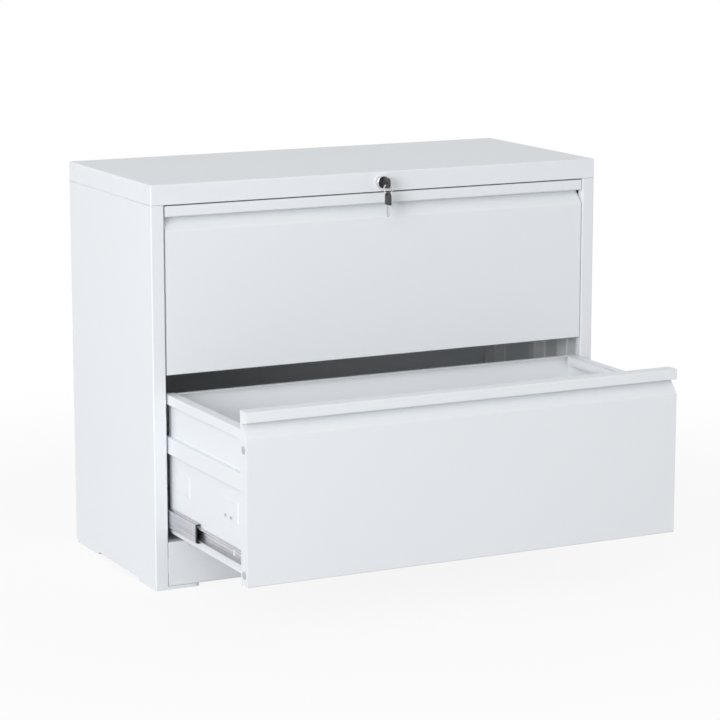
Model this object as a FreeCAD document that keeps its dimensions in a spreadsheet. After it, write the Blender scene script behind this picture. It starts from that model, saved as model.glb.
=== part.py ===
import FreeCAD, Part
import math
import os
import types

import Sketcher

# Two-drawer steel filing cabinet with a central lock, in millimetres.
# The origin lies on the floor under the middle of the case. +Z is up, and the drawers open towards -Y.

SIZES = {
    # Case
    "case_width": 900.0,
    "case_depth": 400.0,
    "case_height": 730.0,
    "case_sheet": 1.0,
    "bend_radius": 2.5,
    "seam_gap": 0.5,
    "fit_gap": 0.3,
    "stile_width": 25.0,
    "stile_return": 15.0,
    "rear_flange": 20.0,
    "cap_skirt": 36.0,
    "cap_return": 14.0,
    "lap_overlap": 20.0,
    "lap_reach": 30.0,
    "lap_end_gap": 50.0,
    "kick_height": 87.0,
    "kick_flange": 20.0,
    "pan_flange": 30.0,
    "back_flange": 15.0,
    "back_clearance": 8.0,
    "foot_height": 6.0,
    "foot_length": 87.0,
    "front_foot_depth": 82.0,
    "rear_foot_depth": 105.0,
    "rear_foot_inset": 9.0,
    "foot_round": 12.0,
    "upright_flange": 10.0,
    "upright_end_gap": 4.0,
    "upright_width": 38.0,
    "middle_upright_width": 18.0,
    "front_upright_setback": 50.0,
    "middle_upright_setback": 174.0,
    "rear_upright_setback": 30.0,
    "rivet_radius": 3.5,
    "rivet_rise": 0.6,
    "rivet_drop": 10.0,
    "rivet_inset": 23.0,
    "back_screw_spacing": 215.0,
    # Drawers
    "reveal": 2.5,
    "sill_gap": 0.6,
    "front_sheet": 1.0,
    "front_depth": 27.0,
    "lip_height": 18.5,
    "lip_round": 5.0,
    "recess_height": 26.0,
    "recess_depth": 20.0,
    "recess_rise": 22.0,
    "front_bend": 2.0,
    "box_sheet": 1.0,
    "box_bottom": 11.5,
    "box_height": 256.0,
    "box_rear_gap": 40.0,
    "box_flange": 12.0,
    "back_lip": 12.0,
    "band_height": 18.0,
    "band_depth": 9.0,
    "band_top": 19.0,
    "rib_start": 149.0,
    "rib_height": 30.0,
    "box_bend": 1.6,
    "seat_inset": 32.0,
    "seat_length": 60.0,
    "seat_low": 96.0,
    "seat_height": 36.0,
    "seat_rise": 1.5,
    "button_radius": 7.0,
    "button_rise": 1.5,
    "button_low": 19.0,
    "button_high": 234.5,
    "lower_pull": 340.0,
    # Telescopic slides
    "slide_thickness": 12.7,
    "slide_centre": 42.5,
    "slide_steel": 1.2,
    "outer_setback": 30.0,
    "outer_rear_gap": 20.0,
    "outer_height": 45.0,
    "outer_depth": 10.5,
    "outer_lip": 3.8,
    "middle_setback": 22.0,
    "middle_rear_gap": 8.0,
    "middle_height": 33.8,
    "middle_inset": 2.2,
    "middle_reach": 10.8,
    "middle_lip": 2.8,
    "inner_rear_gap": 10.0,
    "inner_height": 22.6,
    "inner_inset": 5.0,
    "slide_bend": 1.7,
    "inner_window": 11.0,
    "inner_window_place": 50.0,
    "bumper_length": 4.0,
    "bumper_wall": 1.8,
    "bumper_bend": 2.4,
    "ball_radius": 2.0,
    "ball_gap": 0.2,
    "cage_wall": 0.5,
    "cage_bend": 0.75,
    "cage_setback": 170.0,
    "outer_cage_length": 156.0,
    "outer_cage_inset": 1.45,
    "outer_cage_reach": 8.6,
    "outer_ball_place": 5.85,
    "outer_ball_pitch": 34.0,
    "inner_cage_length": 112.0,
    "inner_cage_inset": 3.75,
    "inner_cage_reach": 9.2,
    "inner_ball_place": 7.2,
    "inner_ball_pitch": 25.0,
    # Lock
    "lock_drop": 18.5,
    "barrel_radius": 11.5,
    "barrel_rise": 11.0,
    "barrel_chamfer": 1.0,
    "shank_radius": 9.5,
    "shank_length": 22.0,
    "nut_across": 26.0,
    "nut_length": 4.0,
    "plug_radius": 7.0,
    "plug_proud": 0.5,
    "tail_radius": 4.5,
    "tail_length": 2.0,
    "cam_radius": 12.0,
    "cam_sheet": 2.0,
    "cam_pin_radius": 2.0,
    "bar_throw": 12.0,
    "bar_sheet": 2.0,
    "bar_gap": 4.0,
    "bar_top_gap": 5.0,
    "bar_strip": 22.0,
    "bar_slot_gap": 0.4,
    "bar_leg": 10.0,
    "bar_leg_inset": 1.6,
    "bar_start": 16.0,
    "tooth_inset": 7.0,
    "tooth_height": 20.0,
    "catch_sheet": 1.5,
    "catch_bend": 2.25,
    "catch_gap": 12.5,
    "catch_height": 34.0,
    "catch_flange": 17.0,
    "first_pin_place": 120.0,
    "second_pin_place": 300.0,
    "pin_radius": 2.5,
    "pin_head_radius": 5.0,
    "pin_head_length": 2.6,
    "guide_low": 440.0,
    "guide_height": 30.0,
    "guide_arm": 16.0,
    # Key
    "bow_length": 21.0,
    "bow_width": 19.0,
    "bow_thickness": 4.5,
    "bow_round": 8.0,
    "bow_gap": 1.0,
    "bow_hole_radius": 2.75,
    "bow_hole_inset": 5.5,
    "blade_length": 24.0,
    "blade_width": 8.4,
    "blade_thickness": 2.2,
    "blade_notch": 1.6,
    "ring_radius": 8.4,
    "ring_wire_radius": 0.9,
    "ring_gap": 0.6,
}

BALLS_PER_ROW = 5
SIDES = {"left": -1, "right": 1}
HEXAGON_CORNERS = 6
BLADE_RUNS = 8
DOME_SHOULDER = 0.5
DOME_CROWN = 0.7

doc = FreeCAD.newDocument("filing_cabinet")
sheet = doc.addObject("Spreadsheet::Sheet", "Sizes")
nodes = []


class Dim:
    """A length that keeps its number and its formula on the sheet together."""

    def __init__(self, value, text):
        self.value = value
        self.text = text

    def __add__(self, other):
        other = dim(other)
        return Dim(self.value + other.value, f"({self.text} + {other.text})")

    def __sub__(self, other):
        other = dim(other)
        return Dim(self.value - other.value, f"({self.text} - {other.text})")

    def __mul__(self, factor):
        return Dim(self.value * factor, f"({self.text} * {float(factor)!r})")

    def __truediv__(self, divisor):
        return Dim(self.value / divisor, f"({self.text} / {float(divisor)!r})")

    def __neg__(self):
        return self * -1

    __rmul__ = __mul__
    __radd__ = __add__


def dim(thing):
    """Wrap a bare number, so that it can stand in a formula."""
    return thing if isinstance(thing, Dim) else Dim(float(thing), repr(float(thing)))


def fill_sheet():
    """Write each size into its own cell and return the sizes by name."""
    named = types.SimpleNamespace()
    for row, (alias, number) in enumerate(SIZES.items(), start=1):
        sheet.set(f"A{row}", alias.replace("_", " "))
        sheet.set(f"B{row}", str(number))
        sheet.setAlias(f"B{row}", alias)
        setattr(named, alias, Dim(number, f"Sizes.{alias}"))
    doc.recompute()
    return named


size = fill_sheet()
half_width = size.case_width / 2
opening_half = half_width - size.stile_width
front_face = -(size.case_depth / 2)
back_face = size.case_depth / 2
cap_seam = size.case_height - size.cap_skirt
wall_inside = half_width - size.case_sheet
front_half = opening_half - size.reveal
front_height = (cap_seam - size.kick_height - size.sill_gap - size.reveal * 2) / 2
lower_base = size.kick_height + size.sill_gap
upper_base = lower_base + front_height + size.reveal
box_half = opening_half - size.slide_thickness
box_front = front_face + size.front_depth + size.front_sheet
box_rear = back_face - size.box_rear_gap
outer_start = front_face + size.outer_setback
outer_end = back_face - size.outer_rear_gap
middle_start = outer_start + size.middle_setback
middle_end = outer_end - size.middle_rear_gap
inner_end = box_rear - size.inner_rear_gap
cage_centre = outer_start + size.cage_setback
catch_low = size.box_bottom + size.box_height - size.band_height - size.catch_gap - size.catch_height
tooth_low = catch_low + size.tooth_inset
lock_height = size.case_height - size.lock_drop
shank_end = front_face + size.shank_length
cam_start = shank_end + size.tail_length
bar_start = cam_start + size.cam_sheet + size.bar_gap
bar_end = bar_start + size.bar_sheet
key_start = front_face - size.barrel_rise - size.plug_proud - size.bow_gap


def bind(thing, path, length):
    """Tie one property to a formula on the sheet."""
    thing.setExpression(path, dim(length).text)


def new_body(label, kept=True):
    """Start a body, and keep it as a sub-part unless it belongs to a group."""
    body = doc.addObject("PartDesign::Body", "Body")
    body.Label = label
    if kept:
        nodes.append(body)
    return body


def group(label, members):
    """Join equal loose pieces into one sub-part of separate solids."""
    compound = doc.addObject("Part::Compound", "Group")
    compound.Label = label
    compound.Links = members
    nodes.append(compound)
    return compound


def place(thing, x=None, y=None, z=None):
    """Bind the position of a piece to formulas on the sheet."""
    for axis, length in (("x", x), ("y", y), ("z", z)):
        if length is not None:
            bind(thing, f"Placement.Base.{axis}", length)
    return thing


def add_sketch(body, plane, level):
    """Start a sketch on one of the body's own planes, at a level along X, Y or Z."""
    sketch = body.newObject("Sketcher::SketchObject", "Sketch")
    origin = [feature for feature in body.Origin.OriginFeatures if feature.Role == f"{plane}_Plane"]
    sketch.AttachmentSupport = [(origin[0], "")]
    sketch.MapMode = "FlatFace"
    bind(sketch, "AttachmentOffset.Base.z", -level if plane == "XZ" else level)
    return sketch


def pin(sketch, pairs):
    """Hold points of the sketch at formulas measured from its origin."""
    rules = []
    texts = []
    for edge, point, x, y in pairs:
        for kind, length in (("DistanceX", dim(x)), ("DistanceY", dim(y))):
            rules.append(Sketcher.Constraint(kind, -1, 1, edge, point, length.value))
            texts.append(length.text)
    for index, text in zip(sketch.addConstraint(rules), texts):
        sketch.setExpression(f"Constraints[{index}]", text)


def draw_loop(sketch, points):
    """Draw a closed outline of straight lines through the points."""
    spots = [FreeCAD.Vector(dim(x).value, dim(y).value, 0) for x, y in points]
    lines = [Part.LineSegment(start, end) for start, end in zip(spots, spots[1:] + spots[:1])]
    edges = list(sketch.addGeometry(lines, False))
    joins = []
    for edge, following in zip(edges, edges[1:] + edges[:1]):
        joins.append(Sketcher.Constraint("Coincident", edge, 2, following, 1))
    sketch.addConstraint(joins)
    pin(sketch, [(edge, 1, x, y) for edge, (x, y) in zip(edges, points)])


def draw_circle(sketch, x, y, radius):
    """Draw a circle held at its centre."""
    centre = FreeCAD.Vector(dim(x).value, dim(y).value, 0)
    edge = sketch.addGeometry(Part.Circle(centre, FreeCAD.Vector(0, 0, 1), radius.value), False)
    pin(sketch, [(edge, 3, x, y)])
    rule = sketch.addConstraint(Sketcher.Constraint("Radius", edge, radius.value))
    bind(sketch, f"Constraints[{rule}]", radius)


def prism(body, plane, start, stop, loops=(), circles=(), cut=False):
    """Add, or cut, an outline drawn on a plane between two levels along the plane's own axis."""
    sketch = add_sketch(body, plane, stop if plane == "XZ" else start)
    for loop in loops:
        draw_loop(sketch, loop)
    for circle in circles:
        draw_circle(sketch, *circle)
    feature = body.newObject("PartDesign::Pocket" if cut else "PartDesign::Pad", "Prism")
    feature.Profile = sketch
    feature.Reversed = cut
    bind(feature, "Length", stop - start)
    doc.recompute()
    return feature


def turned(body, plane, points):
    """Turn a closed outline once round the first axis of its sketch."""
    sketch = add_sketch(body, plane, dim(0))
    draw_loop(sketch, points)
    feature = body.newObject("PartDesign::Revolution", "Revolution")
    feature.Profile = sketch
    feature.ReferenceAxis = (sketch, ["H_Axis"])
    feature.Angle = 360
    doc.recompute()
    return feature


def rounded(body, radius, test):
    """Round the edges of the body that pass the test."""
    base = body.Tip
    chosen = [f"Edge{k}" for k, edge in enumerate(base.Shape.Edges, start=1) if test(edge)]
    feature = body.newObject("PartDesign::Fillet", "Fillet")
    feature.Base = (base, chosen)
    bind(feature, "Radius", radius)
    doc.recompute()
    return feature


def hollowed(body, wall, test):
    """Hollow the body to a wall, open at the face that passes the test."""
    base = body.Tip
    chosen = [f"Face{k}" for k, face in enumerate(base.Shape.Faces, start=1) if test(face)]
    feature = body.newObject("PartDesign::Thickness", "Thickness")
    feature.Base = (base, chosen)
    bind(feature, "Value", wall)
    feature.Reversed = True
    feature.Join = 1
    doc.recompute()
    return feature


near_zero = 1e-4


def near(first, second):
    """Tell whether two numbers are the same place."""
    return abs(first - dim(second).value) < near_zero


def along(edge, axis):
    """Tell whether a straight edge runs along one axis, given as 0, 1 or 2."""
    start, end = edge.Vertexes[0].Point, edge.Vertexes[-1].Point
    return all(near(start[k], end[k]) for k in range(3) if k != axis)


def edge_at(edge, axis, **spots):
    """Tell whether a straight edge runs along an axis at the given places."""
    if not along(edge, axis):
        return False
    point = edge.Vertexes[0].Point
    return all(near(getattr(point, name), spot) for name, spot in spots.items())


def strip_runs(points):
    """Give the direction of each straight run of a strip that bends at right angles."""
    runs = []
    for (x0, y0), (x1, y1) in zip(points, points[1:]):
        step_x, step_y = (x1 - x0).value, (y1 - y0).value
        level = abs(step_x) > abs(step_y)
        runs.append((math.copysign(1, step_x) if level else 0, 0 if level else math.copysign(1, step_y)))
    return runs


def strip_inside(points, wall, turn):
    """Offset the skin of a strip to its other face: to the left where turn is 1, to the right where -1."""
    normals = [(-turn * run_y, turn * run_x) for run_x, run_y in strip_runs(points)]
    inside = []
    for k, (x, y) in enumerate(points):
        before = normals[max(k - 1, 0)]
        after = normals[min(k, len(normals) - 1)]
        inside.append((x + (before[0] or after[0]) * wall, y + (before[1] or after[1]) * wall))
    return inside


def folded(body, plane, start, stop, points, wall, turn, bend):
    """Bend a strip along its skin points, extrude it between two levels and round its folds."""
    inside = strip_inside(points, wall, turn)
    prism(body, plane, start, stop, [points + inside[::-1]])
    first, second = {"XY": ("x", "y"), "XZ": ("x", "z"), "YZ": ("y", "z")}[plane]
    axis = {"XY": 2, "XZ": 1, "YZ": 0}[plane]
    convex, hollow = [], []
    runs = strip_runs(points)
    for k in range(1, len(points) - 1):
        (ax, ay), (bx, by) = runs[k - 1], runs[k]
        towards_wall = (ax * by - ay * bx) * turn > 0
        convex.append(points[k] if towards_wall else inside[k])
        hollow.append(inside[k] if towards_wall else points[k])
    for corners, radius in ((convex, bend), (hollow, bend - wall)):
        rounded(body, radius, lambda edge: any(
            edge_at(edge, axis, **{first: x, second: y}) for x, y in corners))
    return body


def mirrored(points, side):
    """Reflect points drawn for the right-hand side, where side is -1."""
    return [(x * side, y) for x, y in points]


def in_order(first, second):
    """Give two levels with the lower one first."""
    return (first, second) if first.value < second.value else (second, first)


def block(x0, x1, y0, y1):
    """Give the corners of a rectangle."""
    return [(x0, y0), (x1, y0), (x1, y1), (x0, y1)]


# Case

def make_top_cap():
    """The top: a pan with skirts all round, a turned-in front edge and the lock's hole."""
    body = new_body("top_cap")
    prism(body, "XY", cap_seam, size.case_height, [block(-half_width, half_width, front_face, back_face)])
    rounded(body, size.bend_radius,
            lambda edge: along(edge, 2) or near(edge.CenterOfMass.z, size.case_height))
    hollowed(body, size.case_sheet, lambda face: near(face.CenterOfMass.z, cap_seam))
    inner_front = front_face + size.case_sheet
    prism(body, "XY", cap_seam, cap_seam + size.case_sheet,
          [block(-opening_half, opening_half, inner_front, inner_front + size.cap_return)])
    prism(body, "XZ", front_face - 1, inner_front + 1,
          circles=[(0, lock_height, size.shank_radius + size.fit_gap)], cut=True)


def make_side_panel(name, side):
    """One side: rear flange, side, front stile and its return, and the lap that carries the cap."""
    body = new_body(f"{name}_side_panel")
    skin = mirrored([
        (half_width - size.rear_flange, back_face),
        (half_width, back_face),
        (half_width, front_face),
        (opening_half, front_face),
        (opening_half, front_face + size.stile_return),
    ], side)
    top = cap_seam - size.seam_gap
    folded(body, "XY", size.foot_height, top, skin, size.case_sheet, -side, size.bend_radius)
    lap = block(side * (wall_inside - size.case_sheet), side * wall_inside,
                front_face + size.lap_end_gap, back_face - size.lap_end_gap)
    prism(body, "XY", top - size.lap_overlap, cap_seam + size.lap_reach, [lap])


def make_back_panel():
    """The back: a sheet inside the rear flanges, with its foot turned forwards."""
    body = new_body("back_panel")
    skin_face = back_face - size.case_sheet
    bottom = size.foot_height + size.back_clearance
    skin = [
        (skin_face - size.back_flange, bottom),
        (skin_face, bottom),
        (skin_face, cap_seam + size.lap_reach),
    ]
    reach = half_width - size.bend_radius - size.fit_gap
    folded(body, "YZ", -reach, reach, skin, size.case_sheet, 1, size.bend_radius)


def make_bottom_panel():
    """The floor of the case: a pan with its flanges turned down."""
    body = new_body("bottom_panel")
    top = size.kick_height - size.case_sheet
    reach = opening_half - size.seam_gap
    start = front_face + size.bend_radius + size.fit_gap
    stop = back_face - size.case_sheet * 2
    prism(body, "XY", top - size.pan_flange, top, [block(-reach, reach, start, stop)])
    hollowed(body, size.case_sheet, lambda face: near(face.CenterOfMass.z, top - size.pan_flange))


def make_kick_panel():
    """The plinth below the lower drawer, flush with the stiles."""
    body = new_body("kick_panel")
    skin = [
        (front_face + size.kick_flange, size.kick_height),
        (front_face, size.kick_height),
        (front_face, size.foot_height),
        (front_face + size.kick_flange, size.foot_height),
    ]
    reach = opening_half - size.seam_gap
    folded(body, "YZ", -reach, reach, skin, size.case_sheet, 1, size.bend_radius)


def make_corner_feet():
    """Four flat pads under the corners of the case."""
    rows = (
        (front_face, front_face + size.front_foot_depth),
        (back_face - size.rear_foot_inset - size.rear_foot_depth, back_face - size.rear_foot_inset),
    )
    feet = []
    for side in SIDES.values():
        for start, stop in rows:
            foot = new_body("foot", kept=False)
            inner = half_width - size.foot_length
            prism(foot, "XY", dim(0), size.foot_height, [block(side * inner, side * half_width, start, stop)])
            rounded(foot, size.foot_round, lambda edge: edge_at(edge, 2, x=side * inner))
            rounded(foot, size.bend_radius, lambda edge: edge_at(edge, 2, x=side * half_width))
            feet.append(foot)
    group("corner_feet", feet)


def make_uprights():
    """Hat-shaped posts on both side panels, which carry the slides."""
    first = front_face + size.front_upright_setback
    middle = front_face + size.middle_upright_setback
    last = back_face - size.rear_upright_setback
    posts = (
        (first, first + size.upright_width),
        (middle, middle + size.middle_upright_width),
        (last - size.upright_width, last),
    )
    web = opening_half + size.case_sheet
    foot = size.kick_height + size.upright_end_gap
    head = cap_seam - size.upright_end_gap - size.lap_overlap
    uprights = []
    for side in SIDES.values():
        for start, stop in posts:
            post = new_body("upright", kept=False)
            skin = mirrored([
                (wall_inside, start - size.upright_flange),
                (wall_inside, start),
                (web, start),
                (web, stop),
                (wall_inside, stop),
                (wall_inside, stop + size.upright_flange),
            ], side)
            folded(post, "XY", foot, head, skin, size.case_sheet, side, size.bend_radius)
            uprights.append(post)
    group("slide_uprights", uprights)


def make_dome(plane, rise, radius):
    """A low round head with a chamfered rim, standing along the first axis of its plane."""
    head = new_body("head", kept=False)
    turned(head, plane, [
        (dim(0), dim(0)),
        (dim(0), radius),
        (rise * DOME_SHOULDER, radius),
        (rise, radius * DOME_CROWN),
        (rise, dim(0)),
    ])
    return head


def make_case_rivets():
    """Rivet heads at the corners of the cap's side skirts, and down the rear flanges."""
    heads = []
    rivet_height = size.case_height - size.rivet_drop
    for side in SIDES.values():
        for end in (front_face + size.rivet_inset, back_face - size.rivet_inset):
            head = make_dome("XZ", size.rivet_rise * side, size.rivet_radius)
            heads.append(place(head, x=side * half_width, y=end, z=rivet_height))
        for row in (-1, 0, 1):
            head = make_dome("YZ", size.rivet_rise, size.rivet_radius)
            heads.append(place(
                head, x=side * (half_width - size.rear_flange / 2), y=back_face,
                z=size.case_height / 2 + size.back_screw_spacing * row))
    group("case_rivets", heads)


# Drawers

def make_drawer_front(name):
    """The drawer's face: a hollow pan with a full-width finger recess under its lip."""
    body = new_body(f"{name}_drawer_front")
    lip_bottom = front_height - size.lip_height
    recess_start = lip_bottom - size.recess_height
    back = front_face + size.front_depth
    prism(body, "YZ", -front_half, front_half, [[
        (back, dim(0)),
        (front_face, dim(0)),
        (front_face, recess_start),
        (front_face + size.recess_depth, recess_start + size.recess_rise),
        (front_face, lip_bottom),
        (front_face, front_height),
        (back, front_height),
    ]])
    rounded(body, size.lip_round,
            lambda edge: near(edge.CenterOfMass.y, front_face) and near(edge.CenterOfMass.z, recess_start))
    rounded(body, size.front_bend, lambda edge: near(edge.CenterOfMass.y, front_face) and (
        near(edge.CenterOfMass.z, 0) or near(edge.CenterOfMass.z, front_height)
        or near(edge.CenterOfMass.z, lip_bottom)))
    hollowed(body, size.front_sheet, lambda face: near(face.CenterOfMass.y, back))
    return body


def make_front_liner(name):
    """The flat sheet that closes the drawer front from inside and carries the box."""
    body = new_body(f"{name}_front_liner")
    back = front_face + size.front_depth
    reach = front_half - size.front_sheet
    prism(body, "YZ", -reach, reach,
          [block(back, box_front, size.front_sheet, front_height - size.front_sheet)])
    return body


def make_drawer_side(name, hand, side):
    """One side of the box, with its pressed rib and the rolled band along its top."""
    body = new_body(f"{name}_{hand}_side")
    bottom = size.box_bottom
    top = bottom + size.box_height
    outside = box_half + size.band_depth
    rib_low = bottom + size.rib_start
    rib_high = rib_low + size.rib_height
    skin = mirrored([
        (box_half - size.box_flange, bottom),
        (box_half, bottom),
        (box_half, rib_low),
        (outside, rib_low),
        (outside, rib_high),
        (box_half, rib_high),
        (box_half, top - size.band_height),
        (outside, top - size.band_height),
        (outside, top),
        (outside - size.band_top, top),
    ], side)
    folded(body, "XZ", box_front, box_rear, skin, size.box_sheet, side, size.box_bend)
    rear_seat = box_rear - size.seat_inset - size.seat_length
    for start in (box_front + size.seat_inset, rear_seat):
        press_seat(body, side, start)
    return body


def press_seat(body, side, start):
    """A hollow seat pressed out of a box side, which takes the hook of a file bar from inside."""
    stop = start + size.seat_length
    low = size.seat_low
    high = low + size.seat_height
    wall = size.box_sheet
    crown = side * (box_half + size.seat_rise)
    prism(body, "YZ", *in_order(side * (box_half - wall), crown), [block(start, stop, low, high)])
    rounded(body, size.seat_rise - wall / 2, lambda edge: near(edge.CenterOfMass.x, crown)
            and start.value - near_zero < edge.CenterOfMass.y < stop.value + near_zero)
    prism(body, "YZ", *in_order(side * (box_half - wall * 2), crown - side * wall),
          [block(start + wall, stop - wall, low + wall, high - wall)], cut=True)


def make_drawer_back(name):
    """The back of the box, with a stiffening lip turned forwards at its top."""
    body = new_body(f"{name}_drawer_back")
    skin_face = box_rear
    top = size.box_bottom + size.box_height - size.box_sheet
    skin = [
        (skin_face, size.box_bottom + size.box_sheet * 2),
        (skin_face, top),
        (skin_face - size.back_lip, top),
    ]
    reach = box_half - size.box_sheet
    folded(body, "YZ", -reach, reach, skin, size.box_sheet, 1, size.box_bend)
    return body


def make_drawer_bottom(name):
    """The sheet that lies on the flanges of the box's sides."""
    body = new_body(f"{name}_drawer_bottom")
    reach = box_half - size.box_bend - size.fit_gap
    level = size.box_bottom + size.box_sheet
    prism(body, "XY", level, level + size.box_sheet,
          [block(-reach, reach, box_front, box_rear)])
    return body


def make_front_buttons(name, base, pull):
    """Round heads on the end flanges of the drawer front, two at each end."""
    heads = []
    for side in SIDES.values():
        for height in (size.button_low, size.button_high):
            head = make_dome("XZ", size.button_rise * side, size.button_radius)
            heads.append(place(
                head, x=side * front_half, y=front_face + size.front_depth / 2 - pull, z=base + height))
    group(f"{name}_front_buttons", heads)


def make_lock_catch(name):
    """The bent tab on the right-hand side that the lock bar's tooth stands in front of."""
    body = new_body(f"{name}_lock_catch")
    start = bar_end + size.catch_sheet / 2
    tip = box_half + size.band_depth
    skin = [(box_half, start + size.catch_flange), (box_half, start), (tip, start)]
    folded(body, "XY", catch_low, catch_low + size.catch_height,
           skin, size.catch_sheet, 1, size.catch_bend)
    return body


# Telescopic slides

def rail_skin(side, inset, reach, height, lip):
    """Skin of a rail that is open towards the drawer, with lips turned in over the balls."""
    far = opening_half - reach
    near_case = opening_half - inset
    half = height / 2
    points = [(far, half), (near_case, half), (near_case, -half), (far, -half)]
    if lip is not None:
        points = [(far, half - lip)] + points + [(far, lip - half)]
    return mirrored(points, side)


def make_rail(label, skin, start, stop, turn):
    """One rolled rail of a slide."""
    body = new_body(label)
    folded(body, "XZ", start, stop, skin, size.slide_steel, turn, size.slide_bend)
    return body


def make_outer_rail(name, hand, side):
    """The rail fixed to the uprights."""
    skin = rail_skin(side, dim(0), size.outer_depth, size.outer_height, size.outer_lip)
    return make_rail(f"{name}_{hand}_outer_rail", skin, outer_start, outer_end, -side)


def make_middle_rail(name, hand, side):
    """The rail that runs between the fixed one and the drawer's own."""
    skin = rail_skin(side, size.middle_inset, size.middle_reach, size.middle_height, size.middle_lip)
    return make_rail(f"{name}_{hand}_middle_rail", skin, middle_start, middle_end, -side)


def make_inner_rail(name, hand, side):
    """The rail fixed to the drawer's side, with a square window near its front."""
    half = size.inner_height / 2
    far = opening_half - size.inner_inset
    skin = mirrored([(far, half), (box_half, half), (box_half, -half), (far, -half)], side)
    body = make_rail(f"{name}_{hand}_inner_rail", skin, box_front, inner_end, side)
    centre = box_front + size.inner_window_place
    edge = size.inner_window / 2
    prism(body, "YZ", side * box_half - size.slide_thickness, side * box_half + size.slide_thickness,
          [block(centre - edge, centre + edge, -edge, edge)], cut=True)
    return body


def make_bumpers(name, base, pull):
    """Plastic end stops on the front of both middle rails."""
    stops = []
    for side in SIDES.values():
        skin = rail_skin(side, size.middle_inset, size.middle_reach, size.middle_height, None)
        stop = new_body("bumper", kept=False)
        folded(stop, "XZ", middle_start - size.bumper_length, middle_start,
               skin, size.bumper_wall, -side, size.bumper_bend)
        stops.append(place(stop, y=-pull / 2, z=base + size.slide_centre))
    group(f"{name}_slide_bumpers", stops)


def make_cages(name, stage, base, shift):
    """Ball cages of one stage on both sides of a drawer, and the balls in them."""
    if stage == "outer":
        length, inset, reach = size.outer_cage_length, size.outer_cage_inset, size.outer_cage_reach
        ball_x, pitch = size.outer_ball_place, size.outer_ball_pitch
        track = size.outer_height / 2 - size.slide_steel
    else:
        length, inset, reach = size.inner_cage_length, size.inner_cage_inset, size.inner_cage_reach
        ball_x, pitch = size.inner_ball_place, size.inner_ball_pitch
        track = size.middle_height / 2 - size.slide_steel
    ball_z = track - size.ball_gap - size.ball_radius
    cage_height = (ball_z + size.cage_wall / 2) * 2
    spots = [pitch * (k - (BALLS_PER_ROW - 1) / 2) for k in range(BALLS_PER_ROW)]
    cages, balls = [], []
    for side in SIDES.values():
        row = side * (opening_half - ball_x)
        cage = new_body("cage", kept=False)
        skin = rail_skin(side, inset, reach, cage_height, None)
        folded(cage, "XZ", -(length / 2), length / 2, skin, size.cage_wall, -side, size.cage_bend)
        prism(cage, "XY", -cage_height, cage_height,
              circles=[(row, spot, size.ball_radius + size.ball_gap) for spot in spots], cut=True)
        cages.append(place(cage, y=cage_centre - shift, z=base + size.slide_centre))
        for spot in spots:
            for level in (-ball_z, ball_z):
                ball = doc.addObject("Part::Sphere", "Ball")
                bind(ball, "Radius", size.ball_radius)
                height = base + size.slide_centre + level
                balls.append(place(ball, x=row, y=cage_centre + spot - shift, z=height))
    group(f"{name}_{stage}_cages", cages)
    group(f"{name}_{stage}_balls", balls)


def make_drawer(name, base, pull):
    """A whole drawer at its height, pulled out, with its slides in step."""
    pieces = [
        make_drawer_front(name),
        make_front_liner(name),
        make_drawer_back(name),
        make_drawer_bottom(name),
        make_lock_catch(name),
    ]
    for hand, side in SIDES.items():
        pieces.append(make_drawer_side(name, hand, side))
        place(make_outer_rail(name, hand, side), z=base + size.slide_centre)
        place(make_middle_rail(name, hand, side), y=-pull / 2, z=base + size.slide_centre)
        place(make_inner_rail(name, hand, side), y=-pull, z=base + size.slide_centre)
    for piece in pieces:
        place(piece, y=-pull, z=base)
    make_front_buttons(name, base, pull)
    make_bumpers(name, base, pull)
    make_cages(name, "outer", base, pull / 4)
    make_cages(name, "inner", base, pull * 0.75)


# Lock

def make_lock_barrel():
    """The lock's round housing, its shank through the cap's front."""
    body = new_body("lock_barrel")
    bore = size.plug_radius + size.fit_gap
    head = front_face - size.barrel_rise
    turned(body, "YZ", [
        (head, bore),
        (head, size.barrel_radius - size.barrel_chamfer),
        (head + size.barrel_chamfer, size.barrel_radius),
        (front_face, size.barrel_radius),
        (front_face, size.shank_radius),
        (shank_end, size.shank_radius),
        (shank_end, bore),
    ])
    place(body, z=lock_height)


def make_lock_nut():
    """The hexagon nut that clamps the housing behind the cap's front."""
    body = new_body("lock_nut")
    corner = size.nut_across / math.sqrt(3)
    turns = [2 * math.pi * k / HEXAGON_CORNERS for k in range(HEXAGON_CORNERS)]
    start = front_face + size.case_sheet
    prism(body, "XZ", start, start + size.nut_length,
          [[(corner * math.cos(turn), corner * math.sin(turn)) for turn in turns]],
          [(0, 0, size.shank_radius + size.fit_gap / 2)])
    place(body, z=lock_height)


def make_lock_plug():
    """The turning core of the lock, with its keyway."""
    body = new_body("lock_plug")
    face = front_face - size.barrel_rise - size.plug_proud
    turned(body, "YZ", [
        (face, dim(0)),
        (face, size.plug_radius),
        (shank_end, size.plug_radius),
        (shank_end, size.tail_radius),
        (cam_start, size.tail_radius),
        (cam_start, dim(0)),
    ])
    slot_x = size.blade_thickness / 2 + size.fit_gap
    slot_z = size.blade_width / 2 + size.fit_gap
    prism(body, "XZ", face, key_start + size.blade_length + size.fit_gap,
          [block(-slot_x, slot_x, -slot_z, slot_z)], cut=True)
    place(body, z=lock_height)


def make_lock_cam():
    """The disc on the plug's tail, whose pin drives the lock bar."""
    body = new_body("lock_cam")
    offset = size.bar_throw / 2
    prism(body, "XZ", cam_start, cam_start + size.cam_sheet, circles=[(0, 0, size.cam_radius)])
    prism(body, "XZ", cam_start + size.cam_sheet, bar_end + size.bar_sheet,
          circles=[(offset, offset, size.cam_pin_radius)])
    place(body, z=lock_height)


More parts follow.
